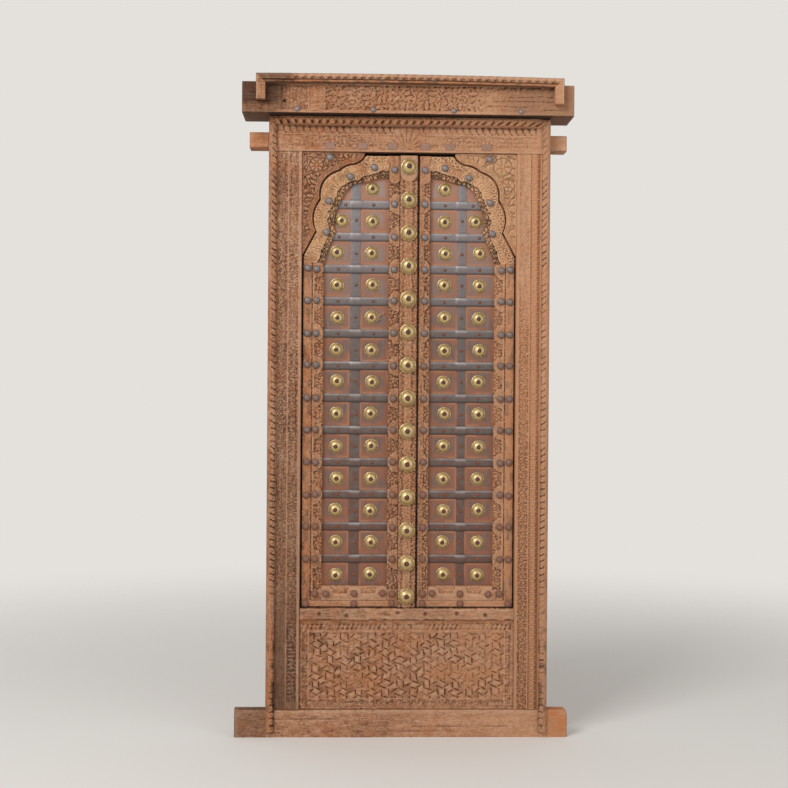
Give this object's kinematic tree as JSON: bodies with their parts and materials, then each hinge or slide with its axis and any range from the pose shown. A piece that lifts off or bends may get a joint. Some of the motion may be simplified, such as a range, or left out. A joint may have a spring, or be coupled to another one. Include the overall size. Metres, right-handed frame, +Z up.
{
  "type": "carved wooden window",
  "caption": "Old carved teak window with its frame, lintel and apron, and two pivoted shutters with cusped arches, iron straps and brass bosses.",
  "frame": {"origin": "on the floor under the sill, below the middle of the opening, in the plane just before the shutters' pivots", "axes": "+Z up, +X to the right seen from the front, +Y from the carved front to the plain back"},
  "size_m": [1.104, 0.183, 2.168],
  "materials": {
    "weathered_teak": "weathered, unvarnished",
    "carved_teak": "carved, worn and dusty",
    "arch_teak": "carved, sandy and worn",
    "wrought_iron": "forged, with rust at the edges",
    "cast_brass": "satin, tarnished at the rims"
  },
  "bodies": {
    "frame": {"sill_beam": "weathered_teak", "left_jamb": "weathered_teak", "right_jamb": "weathered_teak", "sill_rail": "weathered_teak", "head_beam": "weathered_teak", "apron_panel": "carved_teak", "left_roll": "carved_teak", "right_roll": "carved_teak", "top_roll": "carved_teak", "lintel": "carved_teak", "cornice_strip": "carved_teak", "left_cornice_leg": "carved_teak", "right_cornice_leg": "carved_teak", "left_spandrel": "carved_teak", "right_spandrel": "carved_teak", "lintel_nails": "wrought_iron", "spandrel_nails": "wrought_iron", "head_plates": "wrought_iron"},
    "left_shutter": {"left_hinge_plank": "weathered_teak", "left_meeting_plank": "weathered_teak", "left_arch": "arch_teak", "left_hinge_batten": "carved_teak", "left_meeting_batten": "carved_teak", "left_foot_band": "carved_teak", "left_foot_strip": "carved_teak", "left_field_sheet": "wrought_iron", "left_upright_strap": "wrought_iron", "left_cross_straps": "wrought_iron", "left_bosses": "cast_brass", "left_boss_pins": "wrought_iron", "left_rivets": "wrought_iron", "left_dome_nails": "wrought_iron", "left_top_ledge": "weathered_teak", "left_middle_ledge": "weathered_teak", "left_bottom_ledge": "weathered_teak", "astragal": "carved_teak", "astragal_bosses": "cast_brass", "astragal_pins": "wrought_iron"},
    "right_shutter": {"right_hinge_plank": "weathered_teak", "right_meeting_plank": "weathered_teak", "right_arch": "arch_teak", "right_hinge_batten": "carved_teak", "right_meeting_batten": "carved_teak", "right_foot_band": "carved_teak", "right_foot_strip": "carved_teak", "right_field_sheet": "wrought_iron", "right_upright_strap": "wrought_iron", "right_cross_straps": "wrought_iron", "right_bosses": "cast_brass", "right_boss_pins": "wrought_iron", "right_rivets": "wrought_iron", "right_dome_nails": "wrought_iron", "right_top_ledge": "weathered_teak", "right_middle_ledge": "weathered_teak", "right_bottom_ledge": "weathered_teak"}
  },
  "joints": [
    {"name": "left_shutter_swing", "type": "hinge", "parent": "frame", "child": "left_shutter", "pos_m": [-0.335, 0.005, 1.18], "axis": [0, 0, 1], "range_deg": [0, 90]},
    {"name": "right_shutter_swing", "type": "hinge", "parent": "frame", "child": "right_shutter", "pos_m": [0.335, 0.005, 1.18], "axis": [0, 0, -1], "range_deg": [0, 90]}
  ]
}
